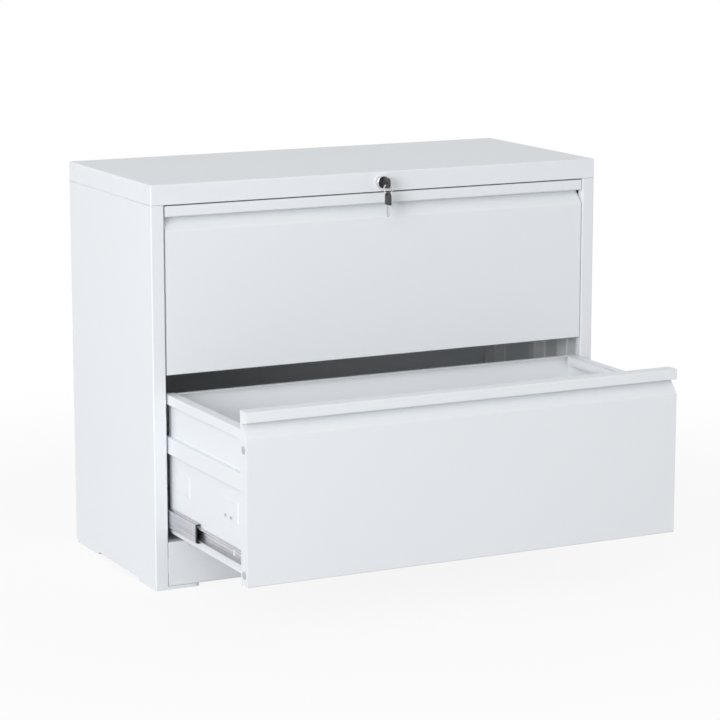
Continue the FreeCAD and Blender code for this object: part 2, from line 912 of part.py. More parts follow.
def make_lock_bar():
    """The L-shaped bar behind the top rail and the right stile, with a tooth for each drawer."""
    body = new_body("lock_bar")
    strip_top = size.case_height - size.case_sheet - size.bar_top_gap
    strip_bottom = strip_top - size.bar_strip
    leg_right = wall_inside - size.bar_leg_inset
    leg_left = leg_right - size.bar_leg
    tip = box_half + size.band_depth + size.seam_gap + size.bar_throw
    teeth = []
    for base in (lower_base, upper_base):
        low = base + tooth_low
        teeth += [(tip, low), (tip, low + size.tooth_height), (leg_left, low + size.tooth_height)]
        teeth.append((leg_left, base + tooth_low + front_height + size.reveal))
    outline = [(-size.bar_start, strip_bottom), (-size.bar_start, strip_top), (leg_right, strip_top)]
    outline.append((leg_right, lower_base + tooth_low))
    outline += teeth[:-1] + [(leg_left, strip_bottom)]
    offset = size.bar_throw / 2
    cam_gap = size.cam_pin_radius + size.bar_slot_gap
    highest = size.bar_throw / math.sqrt(2)
    slots = [block(offset - cam_gap, offset + cam_gap,
                   lock_height + offset - cam_gap, lock_height + highest + cam_gap)]
    pin_gap = size.pin_radius + size.fit_gap
    middle = (strip_top + strip_bottom) / 2
    for spot in (size.first_pin_place, size.second_pin_place):
        slot_end = spot + size.bar_throw + pin_gap
        slots.append(block(spot - pin_gap, slot_end, middle - pin_gap, middle + pin_gap))
    prism(body, "XZ", bar_start, bar_end, [outline] + slots)


def make_lock_bar_pins():
    """Shouldered pins behind the cap's front, on which the bar slides."""
    strip_top = size.case_height - size.case_sheet - size.bar_top_gap
    collar_end = bar_start - size.fit_gap
    head_start = bar_end + size.fit_gap
    pins = []
    for spot in (size.first_pin_place, size.second_pin_place):
        guide_pin = new_body("guide_pin", kept=False)
        turned(guide_pin, "YZ", [
            (front_face + size.case_sheet, dim(0)),
            (front_face + size.case_sheet, size.pin_head_radius),
            (collar_end, size.pin_head_radius),
            (collar_end, size.pin_radius),
            (head_start, size.pin_radius),
            (head_start, size.pin_head_radius),
            (head_start + size.pin_head_length, size.pin_head_radius),
            (head_start + size.pin_head_length, dim(0)),
        ])
        pins.append(place(guide_pin, x=spot, z=strip_top - size.bar_strip / 2))
    group("lock_bar_pins", pins)


def make_lock_bar_guide():
    """The clip on the right side panel in which the bar's leg slides."""
    body = new_body("lock_bar_guide")
    seat = wall_inside - size.case_sheet
    tip = seat - size.guide_arm
    skin = [
        (tip, bar_start - size.fit_gap),
        (seat, bar_start - size.fit_gap),
        (seat, bar_end + size.fit_gap),
        (tip, bar_end + size.fit_gap),
    ]
    inside = strip_inside(skin, size.case_sheet, -1)
    prism(body, "XY", size.guide_low, size.guide_low + size.guide_height, [skin + inside[::-1]])


# Key

def blade_outline(start):
    """Side view of the key's blade from its bow at start, with notches cut in its lower edge."""
    half = size.blade_width / 2
    run = size.blade_length / BLADE_RUNS
    low = -half
    deep = size.blade_notch - half
    rise = [low, low, deep, low, deep, low, deep]
    points = [(start, half)]
    points += [(start + run * k, level) for k, level in enumerate(rise)]
    points.append((start + size.blade_length, dim(0)))
    points.append((start + run * (BLADE_RUNS - 1), half))
    return points


def make_key():
    """The key in the lock, with a plastic bow and a notched blade, and the ring that hangs in its hole."""
    half = size.bow_thickness / 2
    outer = key_start - size.bow_length
    hole_y = outer + size.bow_hole_inset
    bow = new_body("key_bow")
    prism(bow, "YZ", -half, half, [block(outer, key_start, -size.bow_width / 2, size.bow_width / 2)],
          [(hole_y, 0, size.bow_hole_radius)])
    rounded(bow, size.bow_round, lambda edge: edge_at(edge, 0, y=outer))
    place(bow, z=lock_height)
    blade = new_body("key_blade")
    half = size.blade_thickness / 2
    prism(blade, "YZ", -half, half, [blade_outline(key_start)])
    place(blade, z=lock_height)
    sag = size.bow_hole_radius - size.ring_wire_radius - size.ring_gap
    ring = doc.addObject("Part::Torus", "Ring")
    ring.Label = "key_ring"
    bind(ring, "Radius1", size.ring_radius)
    bind(ring, "Radius2", size.ring_wire_radius)
    ring.Placement = FreeCAD.Placement(FreeCAD.Vector(), FreeCAD.Rotation(FreeCAD.Vector(1, 0, 0), 90))
    place(ring, y=hole_y, z=lock_height - sag - size.ring_radius)
    nodes.append(ring)


def check_and_write():
    """Stop on any failed object or bad shape, and otherwise write one file for each sub-part."""
    doc.recompute()
    faults = [thing.Label for thing in doc.Objects if {"Invalid", "Error"} & set(thing.State)]
    faults += [node.Label for node in nodes if node.Shape.isNull() or not node.Shape.isValid()]
    faults += [node.Label for node in nodes if not node.Shape.Solids]
    if faults:
        raise RuntimeError("failed objects: " + ", ".join(faults))
    os.makedirs("parts", exist_ok=True)
    for node in nodes:
        node.Shape.exportStep(f"parts/{node.Label}.step")
    print(f"{len(nodes)} sub-parts, {sum(len(node.Shape.Solids) for node in nodes)} solids")


def main():
    """Build the case, both drawers and the lock, and write them."""
    make_top_cap()
    for hand, side in SIDES.items():
        make_side_panel(hand, side)
    make_back_panel()
    make_bottom_panel()
    make_kick_panel()
    make_corner_feet()
    make_uprights()
    make_case_rivets()
    make_drawer("upper", upper_base, dim(0))
    make_drawer("lower", lower_base, size.lower_pull)
    make_lock_barrel()
    make_lock_nut()
    make_lock_plug()
    make_lock_cam()
    make_lock_bar()
    make_lock_bar_pins()
    make_lock_bar_guide()
    make_key()
    check_and_write()


main()
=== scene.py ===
import logging
import math
from dataclasses import dataclass
from enum import Enum
from typing import Any, Protocol, Union

import bmesh
import bpy
from mathutils import Matrix, Vector


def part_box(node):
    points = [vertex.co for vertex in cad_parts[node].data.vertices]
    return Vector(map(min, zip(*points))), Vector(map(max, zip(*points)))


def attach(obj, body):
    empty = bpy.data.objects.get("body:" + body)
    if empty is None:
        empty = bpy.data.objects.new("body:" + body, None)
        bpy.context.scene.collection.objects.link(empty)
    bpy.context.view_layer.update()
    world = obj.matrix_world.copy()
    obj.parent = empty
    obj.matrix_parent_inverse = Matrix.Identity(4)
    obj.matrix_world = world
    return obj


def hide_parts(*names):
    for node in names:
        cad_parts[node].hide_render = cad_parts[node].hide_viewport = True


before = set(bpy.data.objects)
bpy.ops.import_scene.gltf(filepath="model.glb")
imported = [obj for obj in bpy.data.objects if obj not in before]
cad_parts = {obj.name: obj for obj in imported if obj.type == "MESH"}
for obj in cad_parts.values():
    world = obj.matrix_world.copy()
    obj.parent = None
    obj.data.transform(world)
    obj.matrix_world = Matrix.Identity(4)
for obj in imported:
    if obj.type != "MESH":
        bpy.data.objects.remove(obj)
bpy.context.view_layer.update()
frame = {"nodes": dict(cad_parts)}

log = logging.getLogger("filing_cabinet")
Colour = tuple[float, float, float]
Point = tuple[float, float, float]
Pair = tuple[float, float]
Number = Union[float, int, "Shade"]

MM = 0.001
WHITE = (1.0, 1.0, 1.0)
UNSTRETCHED = (1.0, 1.0, 1.0)
NOISE_MEAN = 0.5
COLOUR_RESULT = 2
SMOOTH_ANGLE = 40.0
BEVEL_STEPS = 2
MERGE_GAP = 1e-7


class Tier(Enum):
    """The two drawers."""

    UPPER = "upper"
    LOWER = "lower"


class Hand(Enum):
    """The two ends of the cabinet, as someone who faces the drawers sees them."""

    LEFT = "left"
    RIGHT = "right"


class Slot(Enum):
    """The record's material slots."""

    WHITE_PAINT = "white_paint"
    INNER_PAINT = "inner_paint"
    PAINTED_RIVET = "painted_rivet"
    FOOT_PAD = "foot_pad"
    FRONT_BUTTON = "front_button"
    ZINC_RAIL = "zinc_rail"
    ZINC_PLATE = "zinc_plate"
    STEEL_BALL = "steel_ball"
    BLACK_PLASTIC = "black_plastic"
    LOCK_CHROME = "lock_chrome"
    LOCK_FACE = "lock_face"
    KEY_GRIP = "key_grip"
    KEY_NICKEL = "key_nickel"


@dataclass(frozen=True)
class Pattern:
    """Soft noise: its bumps per metre, its layers, and how strong each finer layer is."""

    per_metre: float
    layers: float = 2.0
    fineness: float = 0.5


class Shade:
    """A node's output that can stand in an arithmetic expression."""

    def __init__(self, graph: "Graph", socket: bpy.types.NodeSocket) -> None:
        """Keep the socket and the graph that it belongs to."""
        self.graph = graph
        self.socket = socket

    def maths(self, operation: str, first: Number, second: Number) -> "Shade":
        """Add one Math node on two values."""
        return self.graph.node("ShaderNodeMath", {"operation": operation}, {0: first, 1: second})

    def __add__(self, other: Number) -> "Shade":
        """Add a value."""
        return self.maths("ADD", self, other)

    def __sub__(self, other: Number) -> "Shade":
        """Take a value away."""
        return self.maths("SUBTRACT", self, other)

    def __rsub__(self, other: Number) -> "Shade":
        """Take this away from a value."""
        return self.maths("SUBTRACT", other, self)

    def __mul__(self, other: Number) -> "Shade":
        """Multiply by a value."""
        return self.maths("MULTIPLY", self, other)

    def most(self, other: Number) -> "Shade":
        """Take the greater of this and a value."""
        return self.maths("MAXIMUM", self, other)

    __radd__ = __add__
    __rmul__ = __mul__


class Graph:
    """The node tree of a material or of the world."""

    def __init__(self, owner: Union[bpy.types.Material, bpy.types.World], shader: str, output: str) -> None:
        """Turn on the owner's nodes.

        Args:
            owner: the material or world.
            shader: the name of the shader node that it starts with.
            output: the name of its output node.
        """
        owner.use_nodes = True
        self.tree = owner.node_tree
        self.shader = self.tree.nodes[shader]
        self.output = self.tree.nodes[output]

    def feed(self, socket: bpy.types.NodeSocket, value: Any) -> None:
        """Link a shade to a socket, or set the socket to a plain value.

        Args:
            socket: the input socket.
            value: a shade, a number, a vector, or a colour without its alpha.
        """
        if isinstance(value, Shade):
            self.tree.links.new(value.socket, socket)
        elif socket.type == "RGBA":
            socket.default_value = (*value, 1.0)
        else:
            socket.default_value = value

    def node(self, kind: str, settings: dict[str, Any], sockets: dict[Any, Any], output: Any = 0) -> Shade:
        """Add any node.

        Args:
            kind: the node's type.
            settings: properties, which are set before the sockets.
            sockets: values or links by socket name or number.
            output: the output socket's name or number.

        Returns:
            The chosen output.
        """
        made = self.tree.nodes.new(kind)
        for name, value in settings.items():
            setattr(made, name, value)
        for key, value in sockets.items():
            self.feed(made.inputs[key], value)
        return Shade(self, made.outputs[output])

    def place(self, stretch: Point = UNSTRETCHED) -> Shade:
        """Give the piece's own coordinates, stretched along its axes."""
        spot = self.node("ShaderNodeTexCoord", {}, {}, "Object")
        return self.node("ShaderNodeMapping", {}, {"Vector": spot, "Scale": stretch})

    def noise(self, pattern: Pattern, stretch: Point = UNSTRETCHED) -> Shade:
        """Give a pattern's noise, between 0 and 1, on the piece's own stretched coordinates."""
        return self.node("ShaderNodeTexNoise", {}, {
            "Vector": self.place(stretch), "Scale": pattern.per_metre, "Detail": pattern.layers,
            "Roughness": pattern.fineness}, "Fac")

    def tint(self, factor: Number, first: Colour, second: Colour) -> Shade:
        """Mix two colours by a factor."""
        return self.node("ShaderNodeMix", {"data_type": "RGBA"}, {
            "Factor": factor, "A": first, "B": second}, COLOUR_RESULT)

    def bump(self, height: Shade, depth: float, strength: float) -> Shade:
        """Turn a height into a normal, with the depth in metres."""
        return self.node("ShaderNodeBump", {}, {
            "Height": height, "Distance": depth, "Strength": strength}, "Normal")

    def show(self, plain: Shade, shown: Shade, share: Number = 1.0) -> None:
        """Let the eye, and what mirrors or clear pieces show it, see another shader than the one that lights.

        Args:
            plain: the shader that lights the object.
            shown: the shader that is seen.
            share: how much of it is seen.
        """
        camera = self.node("ShaderNodeLightPath", {}, {}, "Is Camera Ray")
        mirrored = self.node("ShaderNodeLightPath", {}, {}, "Is Glossy Ray")
        through = self.node("ShaderNodeLightPath", {}, {}, "Is Transmission Ray")
        seen = camera.most(mirrored).most(through) * share
        mixed = self.node("ShaderNodeMixShader", {}, {0: seen, 1: plain, 2: shown})
        self.feed(self.output.inputs["Surface"], mixed)


class Surface(Graph):
    """The node tree of one material, with its Principled shader."""

    def __init__(self, name: str) -> None:
        """Start a material."""
        self.material = bpy.data.materials.new(name)
        super().__init__(self.material, "Principled BSDF", "Material Output")

    def finish(self, **sockets: Any) -> bpy.types.Material:
        """Set the shader's sockets by name, with _ for spaces.

        Args:
            sockets: values or shades.

        Returns:
            The finished material.
        """
        for name, value in sockets.items():
            self.feed(self.shader.inputs[name.replace("_", " ")], value)
        return self.material


class Finish(Protocol):
    """Anything with a name that can build its material."""

    name: str

    def material(self) -> bpy.types.Material:
        """Build the material."""


@dataclass(frozen=True)
class PowderCoat:
    """Baked powder paint: a satin skin with a fine pebbled grain and faint clouding."""

    name: str
    colour: Colour
    deep: Colour
    roughness: float = 0.58
    sheen: float = 0.26
    cloud: Pattern = Pattern(3.0, 3.0)
    speck: Pattern = Pattern(2600.0, 1.0)
    grain: Pattern = Pattern(900.0, 2.0, 0.55)
    cloud_share: float = 0.7
    speck_share: float = 0.3
    gloss: float = 0.05
    grain_matt: float = 0.08
    cloud_matt: float = 0.03
    grain_depth: float = 0.04 * MM
    grain_strength: float = 0.6

    def material(self) -> bpy.types.Material:
        """Build the paint.

        Returns:
            The paint's material.
        """
        graph = Surface(self.name)
        cloud = graph.noise(self.cloud)
        speck = graph.noise(self.speck)
        grain = graph.noise(self.grain)
        pale = cloud * self.cloud_share + speck * self.speck_share
        return graph.finish(
            Base_Color=graph.tint(pale, self.deep, self.colour),
            Roughness=self.roughness - self.gloss + grain * self.grain_matt + cloud * self.cloud_matt,
            Normal=graph.bump(grain, self.grain_depth, self.grain_strength),
            Specular_IOR_Level=self.sheen,
        )


@dataclass(frozen=True)
class ZincPlate:
    """Zinc on rolled steel: light and dark bands across the rolled ridges painted into its colour as painted
    shade and highlight, fine draw lines along the rolling, and a mild spangle.
    """

    name: str
    colour: Colour
    dark: Colour
    roughness: float = 0.34
    drawn: Point = (1.0, 0.02, 1.0)
    ridges: Pattern = Pattern(150.0, 1.0)
    lines: Pattern = Pattern(1900.0, 3.0, 0.6)
    spangle: Pattern = Pattern(160.0)
    ridge_shade_contrast: float = 1.8
    ridge_shade_base: float = 0.25
    line_share: float = 0.3
    spangle_share: float = 0.2
    gloss: float = 0.08
    streak_matt: float = 0.18
    line_height: float = 0.01
    roll_depth: float = 2.0 * MM
    roll_strength: float = 0.8

    def material(self) -> bpy.types.Material:
        """Build the plating.

        Returns:
            The plating's material.
        """
        graph = Surface(self.name)
        ridges = graph.noise(self.ridges, self.drawn)
        lines = graph.noise(self.lines, self.drawn)
        spangle = graph.noise(self.spangle)
        # The ridges' light and dark bands in the colour are painted shade and highlight; the draw lines and
        # spangle are the zinc's own marks.
        ridge_shade_and_streaks = (ridges - NOISE_MEAN) * self.ridge_shade_contrast + self.ridge_shade_base
        ridge_shade_and_streaks = ridge_shade_and_streaks + lines * self.line_share + spangle * self.spangle_share
        return graph.finish(
            Base_Color=graph.tint(ridge_shade_and_streaks, self.dark, self.colour),
            Metallic=1.0,
            Roughness=self.roughness - self.gloss + ridge_shade_and_streaks * self.streak_matt,
            Normal=graph.bump(ridges + lines * self.line_height, self.roll_depth, self.roll_strength),
        )


@dataclass(frozen=True)
class Polish:
    """Bright plating with a breath of haze and hairline scuffs."""

    name: str
    colour: Colour
    haze: Colour
    roughness: float = 0.12
    mist: Pattern = Pattern(420.0, 4.0, 0.6)
    scuffs: Pattern = Pattern(3000.0)
    scuff_stretch: Point = (1.0, 0.1, 1.0)
    mist_matt: float = 0.08
    scuff_matt: float = 0.04
    scuff_depth: float = 0.008 * MM
    scuff_strength: float = 0.4

    def material(self) -> bpy.types.Material:
        """Build the plating.

        Returns:
            The plating's material.
        """
        graph = Surface(self.name)
        mist = graph.noise(self.mist)
        scuffs = graph.noise(self.scuffs, self.scuff_stretch)
        return graph.finish(
            Base_Color=graph.tint(mist, self.haze, self.colour),
            Metallic=1.0,
            Roughness=self.roughness + mist * self.mist_matt + scuffs * self.scuff_matt,
            Normal=graph.bump(scuffs, self.scuff_depth, self.scuff_strength),
        )


@dataclass(frozen=True)
class Moulding:
    """Moulded plastic with a spark-eroded grain."""

    name: str
    colour: Colour
    pale: Colour
    roughness: float = 0.5
    grain: Pattern = Pattern(1500.0, 3.0, 0.6)
    bloom: Pattern = Pattern(90.0)
    pale_share: float = 0.4
    gloss: float = 0.06
    grain_matt: float = 0.16
    grain_depth: float = 0.03 * MM
    grain_strength: float = 0.6

    def material(self) -> bpy.types.Material:
        """Build the plastic.

        Returns:
            The plastic's material.
        """
        graph = Surface(self.name)
        grain = graph.noise(self.grain)
        bloom = graph.noise(self.bloom)
        pale = grain * self.pale_share + bloom * self.pale_share
        return graph.finish(
            Base_Color=graph.tint(pale, self.colour, self.pale),
            Roughness=self.roughness - self.gloss + grain * self.grain_matt,
            Normal=graph.bump(grain, self.grain_depth, self.grain_strength),
        )


# A whiter copy of the white powder coat, painted light that brightens the shaded inside of the drawer boxes.
BOX_PAINT_WITH_PAINTED_LIGHT = PowderCoat("box_powder_coat_painted_light", (0.870, 0.890, 0.910), (0.845, 0.866, 0.888), 0.5)
FINISHES: dict[Slot, Finish] = {
    Slot.WHITE_PAINT: PowderCoat("white_powder_coat", (0.805, 0.833, 0.860), (0.776, 0.805, 0.834)),
    # The inside coat is a paler copy of the white powder coat, painted light for shaded inside faces.
    Slot.INNER_PAINT: PowderCoat("inside_powder_coat_painted_light", (0.86, 0.88, 0.90), (0.83, 0.85, 0.87), 0.5),
    Slot.PAINTED_RIVET: PowderCoat("rivet_powder_coat", (0.74, 0.77, 0.80), (0.70, 0.73, 0.76), 0.36),
    Slot.FOOT_PAD: Moulding("foot_moulding", (0.76, 0.79, 0.82), (0.80, 0.83, 0.86), 0.55),
    Slot.FRONT_BUTTON: Moulding("button_moulding", (0.43, 0.445, 0.47), (0.50, 0.515, 0.54), 0.4),
    Slot.ZINC_RAIL: ZincPlate("zinc_rail_plate", (0.78, 0.79, 0.82), (0.42, 0.43, 0.46), 0.30),
    Slot.ZINC_PLATE: ZincPlate("zinc_pressing_plate", (0.70, 0.71, 0.73), (0.46, 0.47, 0.49), 0.38,
                               (1.0, 1.0, 0.05)),
    Slot.STEEL_BALL: Polish("ball_steel", (0.72, 0.72, 0.73), (0.60, 0.60, 0.61), 0.08),
    Slot.BLACK_PLASTIC: Moulding("black_moulding", (0.012, 0.012, 0.014), (0.03, 0.03, 0.032), 0.45),
    Slot.LOCK_CHROME: Polish("lock_chrome", (0.80, 0.80, 0.81), (0.70, 0.70, 0.71), 0.08),
    # The core's nickel is darkened as painted reflection, standing for dark surroundings mirrored in its
    # face.
    Slot.LOCK_FACE: Polish("lock_core_nickel_painted_reflection", (0.40, 0.40, 0.41), (0.30, 0.30, 0.31), 0.22),
    Slot.KEY_GRIP: Moulding("key_grip_moulding", (0.030, 0.032, 0.036), (0.055, 0.058, 0.064), 0.42),
    Slot.KEY_NICKEL: Polish("key_nickel", (0.76, 0.76, 0.75), (0.64, 0.64, 0.63), 0.16),
}


class Dresser:
    """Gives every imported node, and every new piece, its finish."""

    def __init__(self, shown: dict[str, bpy.types.Object]) -> None:
        """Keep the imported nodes, all of them still bare.

        Args:
            shown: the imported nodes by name.
        """
        self.shown = shown
        self.bare = set(shown)
        self.made: dict[str, bpy.types.Material] = {}

    def material(self, finish: Finish) -> bpy.types.Material:
        """Build a finish the first time it is asked for.

        Args:
            finish: the finish.

        Returns:
            Its material.
        """
        if finish.name not in self.made:
            self.made[finish.name] = finish.material()
        return self.made[finish.name]

    def node(self, name: str, finish: Finish) -> None:
        """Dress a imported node.

        Args:
            name: the node's name.
            finish: what it is dressed in.
        """
        thing = self.shown[name]
        material = self.material(finish)
        if not thing.material_slots:
            thing.data.materials.append(material)
        for holder in thing.material_slots:
            holder.material = material
        self.bare.discard(name)
        log.info("dressed %s in %s", name, finish.name)

    def nodes(self, slot: Slot, *names: str) -> None:
        """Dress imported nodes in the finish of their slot."""
        for name in names:
            self.node(name, FINISHES[slot])

    def piece(self, thing: bpy.types.Object, slot: Slot, body: str) -> None:
        """Dress a new piece, and let it ride on a body.

        Args:
            thing: the piece.
            slot: the record's material slot that it takes its finish from.
            body: the body that carries it.
        """
        thing.data.materials.append(self.material(FINISHES[slot]))
        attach(thing, body)
        log.info("added %s on %s", thing.name, body)


def new_piece(name: str, shape: bmesh.types.BMesh, smooth: float = SMOOTH_ANGLE) -> bpy.types.Object:
    """Turn a bmesh into an object at the origin.

    Args:
        name: the piece's name.
        shape: the bmesh, which is freed.
        smooth: edges flatter than this many degrees are shaded smooth.

    Returns:
        The new object, linked to the scene.
    """
    bmesh.ops.recalc_face_normals(shape, faces=shape.faces)
    for face in shape.faces:
        face.smooth = True
    for edge in shape.edges:
        edge.smooth = len(edge.link_faces) == 2 and edge.calc_face_angle(0.0) < math.radians(smooth)
    mesh = bpy.data.meshes.new(name)
    shape.to_mesh(mesh)
    shape.free()
    thing = bpy.data.objects.new(name, mesh)
    bpy.context.scene.collection.objects.link(thing)
    return thing


def soften(shape: bmesh.types.BMesh, edges: list[bmesh.types.BMEdge], offset: float) -> None:
    """Bevel edges with a round profile."""
    bmesh.ops.bevel(shape, geom=edges, offset=offset, offset_type="OFFSET", affect="EDGES",
                    segments=BEVEL_STEPS, profile=0.5, material=-1, clamp_overlap=True)


def close_loop(shape: bmesh.types.BMesh, corners: list[bmesh.types.BMVert]) -> list[bmesh.types.BMEdge]:
    """Join vertices, and the last to the first, with edges."""
    return [shape.edges.new(pair) for pair in zip(corners, corners[1:] + corners[:1])]


def thicken(shape: bmesh.types.BMesh, flat: list[bmesh.types.BMFace], depth: float) -> None:
    """Extrude flat faces along X into a closed plate.

    Args:
        shape: the bmesh.
        flat: its faces on one side of the plate.
        depth: the plate's thickness.
    """
    grown = bmesh.ops.extrude_face_region(shape, geom=flat)["geom"]
    moved = [item for item in grown if isinstance(item, bmesh.types.BMVert)]
    bmesh.ops.translate(shape, verts=moved, vec=(depth, 0.0, 0.0))
    bmesh.ops.recalc_face_normals(shape, faces=shape.faces)


def add_block(shape: bmesh.types.BMesh, low: Vector, high: Vector, edge: float) -> None:
    """Add a block with rounded edges.

    Args:
        shape: the bmesh that gets it.
        low: its lowest corner.
        high: its highest corner.
        edge: the radius of its edges.
    """
    place = Matrix.Translation((low + high) / 2) @ Matrix.Diagonal((*(high - low), 1.0))
    made = bmesh.ops.create_cube(shape, size=1.0, matrix=place)
    soften(shape, list({line for vert in made["verts"] for line in vert.link_edges}), edge)


def add_spun(shape: bmesh.types.BMesh, profile: list[Pair], centre: Vector, steps: int) -> None:
    """Spin a closed profile once round an axis along Y.

    Args:
        shape: the bmesh that gets the faces.
        profile: points as radius and place along Y, measured from the centre.
        centre: a point on the axis.
        steps: faces round the axis.
    """
    corners = [shape.verts.new(centre + Vector((radius, along, 0.0))) for radius, along in profile]
    edges = close_loop(shape, corners)
    bmesh.ops.spin(shape, geom=corners + edges, cent=centre, axis=(0.0, 1.0, 0.0), dvec=(0.0, 0.0, 0.0),
                   angle=math.tau, steps=steps, use_merge=True, use_duplicate=False)
    bmesh.ops.remove_doubles(shape, verts=shape.verts, dist=MERGE_GAP)


@dataclass(frozen=True)
class Case:
    """The painted shell with its feet, its rivets and the posts that carry the slides."""

    shell: tuple[str, ...] = ("top_cap", "left_side_panel", "right_side_panel", "back_panel", "bottom_panel",
                              "kick_panel")
    paint_depth: float = 0.8 * MM
    paint_sink: float = 0.15 * MM
    paint_edge: float = 0.05 * MM

    def dress(self, dresser: Dresser) -> None:
        """Paint the shell, and finish what stands in and under it.

        Args:
            dresser: gives the finishes.
        """
        dresser.nodes(Slot.WHITE_PAINT, *self.shell)
        # The posts take the paler inside coat, painted light that brightens the shaded inside of the bay.
        dresser.nodes(Slot.INNER_PAINT, "slide_uprights")
        dresser.nodes(Slot.PAINTED_RIVET, "case_rivets")
        dresser.nodes(Slot.FOOT_PAD, "corner_feet")

    def build(self, dresser: Dresser) -> None:
        """Fill the seams between the plinth and the stiles with paint, a little below the surface.

        Args:
            dresser: gives the finish.
        """
        low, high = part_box("kick_panel")
        left_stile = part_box("left_side_panel")[1].x
        right_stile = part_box("right_side_panel")[0].x
        shape = bmesh.new()
        for first, last in ((left_stile, low.x), (high.x, right_stile)):
            start = Vector((first, low.y + self.paint_sink, low.z))
            add_block(shape, start, Vector((last, start.y + self.paint_depth, high.z)), self.paint_edge)
        dresser.piece(new_piece("kick_seam_paint", shape), Slot.WHITE_PAINT, "case")


@dataclass(frozen=True)
class SideSheet:
    """Where one folded side of a drawer's box is: its corners, its outer face and the way in, 1 or -1."""

    low: Vector
    high: Vector
    outer: float
    inward: float

    @classmethod
    def of(cls, tier: Tier, hand: Hand) -> "SideSheet":
        """Measure an imported side.

        Args:
            tier: its drawer.
            hand: its end of the cabinet.

        Returns:
            The measured side.
        """
        low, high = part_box(f"{tier.value}_{hand.value}_side")
        if hand is Hand.LEFT:
            return cls(low, high, low.x, 1.0)
        return cls(low, high, high.x, -1.0)

    def inside(self, depth: float) -> float:
        """Give the place along X that lies so deep inside the outer face."""
        return self.outer + self.inward * depth


@dataclass(frozen=True)
class Drawer:
    """One drawer: its front, its box, the buttons on the front and the lock's catch."""

    tier: Tier
    box: tuple[str, ...] = ("front_liner", "drawer_back", "drawer_bottom")
    sheet: float = 1.0 * MM
    band_height: float = 18.0 * MM
    band_depth: float = 9.0 * MM
    rib_start: float = 149.0 * MM
    rib_height: float = 30.0 * MM
    tab_setback: float = 0.6 * MM
    fold_edge: float = 0.2 * MM
    flange_width: float = 19.0 * MM
    lip_gap: float = 0.5 * MM
    seat_end: float = 92.0 * MM
    seat_low: float = 84.5 * MM
    seat_rise: float = 1.5 * MM
    slot_shade_setbacks: tuple[float, ...] = (10.0 * MM, 33.0 * MM)
    slot_shade_level: float = 5.0 * MM
    slot_shade_reach: Point = (0.9 * MM, 4.5 * MM, 2.5 * MM)
    slot_shade_edge: float = 0.5 * MM

    def dress(self, dresser: Dresser) -> None:
        """Paint the front and sides like the case, and the rest of the box in a whiter copy of that coat,
        painted light that brightens the box's shaded inside.

        Args:
            dresser: gives the finishes.
        """
        name = self.tier.value
        sides = [f"{name}_{hand.value}_side" for hand in Hand]
        dresser.nodes(Slot.WHITE_PAINT, f"{name}_drawer_front", *sides)
        for panel in self.box:
            dresser.node(f"{name}_{panel}", BOX_PAINT_WITH_PAINTED_LIGHT)
        dresser.nodes(Slot.FRONT_BUTTON, f"{name}_front_buttons")
        dresser.nodes(Slot.ZINC_PLATE, f"{name}_lock_catch")

    def build(self, dresser: Dresser) -> None:
        """Finish the folded sides with their rear tabs, their lips and grey plates in their front seats,
        which are painted shade for the seats' slots.

        Args:
            dresser: gives the finishes.
        """
        name = self.tier.value
        sides = [SideSheet.of(self.tier, hand) for hand in Hand]
        for part, slot, add in (
            ("tabs", Slot.WHITE_PAINT, self.add_tabs),
            ("lips", Slot.INNER_PAINT, self.add_lip),
            # Grey plates in the button moulding, painted shade for the slots in the front seats.
            ("slot_shade_plates", Slot.FRONT_BUTTON, self.add_slot_shade_plates),
        ):
            shape = bmesh.new()
            for side in sides:
                add(shape, side)
            dresser.piece(new_piece(f"{name}_side_{part}", shape), slot, f"{name}_drawer")

    def add_fold(self, shape: bmesh.types.BMesh, start: Point, end: Point) -> None:
        """Add a strip of folded sheet between two corners, whichever way they lie along X.

        Args:
            shape: the bmesh that gets it.
            start: its corner that is lowest along Y and Z.
            end: its corner that is highest along Y and Z.
        """
        low_x, high_x = sorted((start[0], end[0]))
        add_block(shape, Vector((low_x, *start[1:])), Vector((high_x, *end[1:])), self.fold_edge)

    def add_tabs(self, shape: bmesh.types.BMesh, side: SideSheet) -> None:
        """Close the rear ends of one side's rib and band with folded tabs.

        Args:
            shape: the bmesh that gets them.
            side: where the side is.
        """
        near = side.inside(self.sheet / 2)
        far = side.inside(self.band_depth + self.sheet)
        rear = side.high.y - self.tab_setback
        rib = side.low.z + self.rib_start
        band = side.high.z - self.band_height
        for bottom, top in ((rib, rib + self.rib_height), (band, side.high.z)):
            start = (near, rear - self.sheet, bottom + self.sheet / 2)
            self.add_fold(shape, start, (far, rear, top - self.sheet / 2))

    def add_lip(self, shape: bmesh.types.BMesh, side: SideSheet) -> None:
        """Turn down the inner edge of one side's top flange, which hides the band's hollow from inside.

        Args:
            shape: the bmesh that gets it.
            side: where the side is.
        """
        near = side.inside(self.flange_width - self.sheet)
        far = side.inside(self.flange_width)
        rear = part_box(f"{self.tier.value}_drawer_back")[0].y - self.lip_gap
        start = (near, side.low.y, side.high.z - self.band_height)
        self.add_fold(shape, start, (far, rear, side.high.z - self.sheet / 2))

    def add_slot_shade_plates(self, shape: bmesh.types.BMesh, side: SideSheet) -> None:
        """Put grey plates in one side's front seat, painted shade that stands for the shade inside its slots.

        Args:
            shape: the bmesh that gets them.
            side: where the side is.
        """
        crown = side.inside(self.band_depth - self.seat_rise)
        level = side.low.z + self.seat_low + self.slot_shade_level
        reach = Vector(self.slot_shade_reach)
        for setback in self.slot_shade_setbacks:
            centre = Vector((crown, side.low.y + self.seat_end - setback, level))
            add_block(shape, centre - reach, centre + reach, self.slot_shade_edge)


